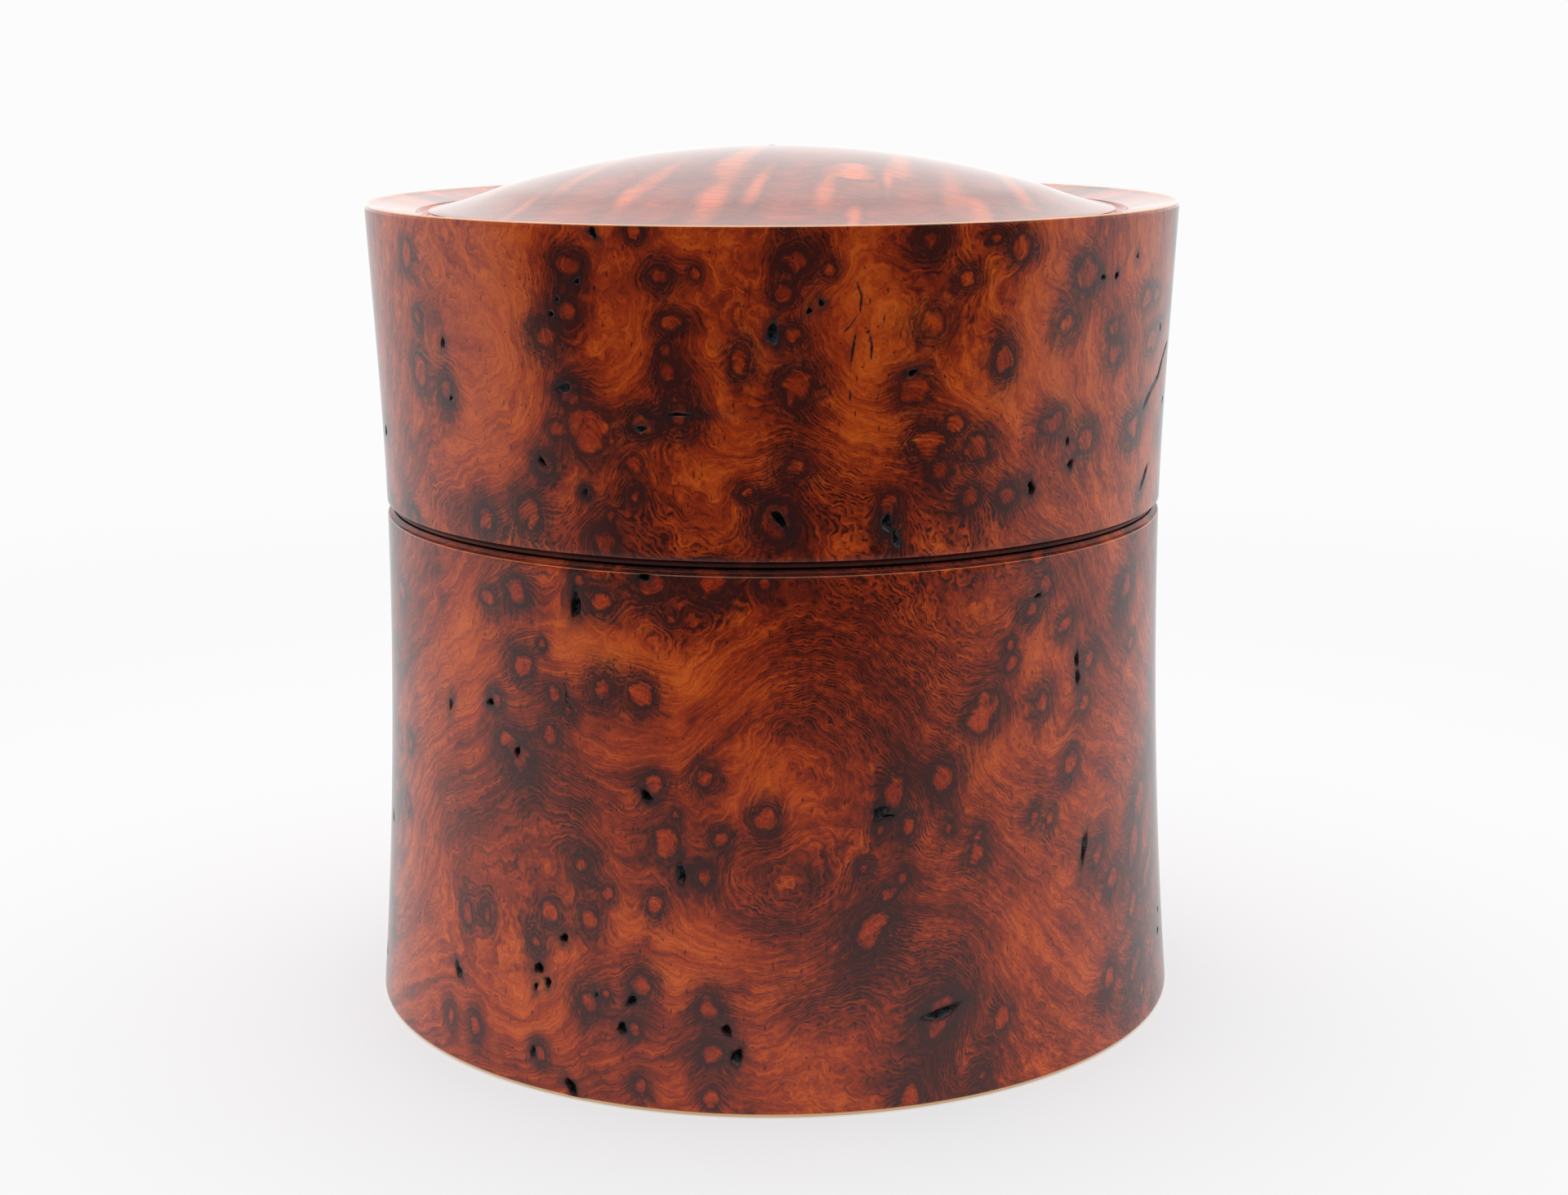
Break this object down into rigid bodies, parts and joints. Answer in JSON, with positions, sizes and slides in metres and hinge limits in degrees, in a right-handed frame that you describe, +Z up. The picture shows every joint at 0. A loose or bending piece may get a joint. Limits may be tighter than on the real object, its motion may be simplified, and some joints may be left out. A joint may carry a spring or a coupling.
{
  "type": "tea caddy",
  "caption": "Round turned burl-wood tea caddy with a waisted wall, a domed lift-off lid over a glued neck sleeve, and a knobbed inner lid.",
  "frame": {"origin": "centre of the base, on the plane the caddy stands on", "axes": "+Z up along the turning axis; -Y is the side that faces the viewer"},
  "size_m": [0.0856, 0.0856, 0.0894],
  "materials": {
    "burl": "clear gloss lacquer over polished burl",
    "sleeve_wood": "satin oil on plain dark wood",
    "inner_wood": "satin lacquer on plain reddish wood"
  },
  "bodies": {
    "caddy_body": {"body": "burl", "neck_sleeve": "sleeve_wood"},
    "inner_lid": {"inner_lid": "inner_wood", "inner_lid_knob": "inner_wood"},
    "lid": {"lid": "burl"}
  },
  "joints": [
    {"name": "lid_lift", "type": "slide", "parent": "caddy_body", "child": "lid", "axis": [0, 0, 1], "range_m": [0, 0.09]},
    {"name": "inner_lid_lift", "type": "slide", "parent": "caddy_body", "child": "inner_lid", "axis": [0, 0, 1], "range_m": [0, 0.036]}
  ],
  "couplings": [
    {"joint": "inner_lid_lift", "follows": "lid_lift", "ratio": 0.4}
  ]
}
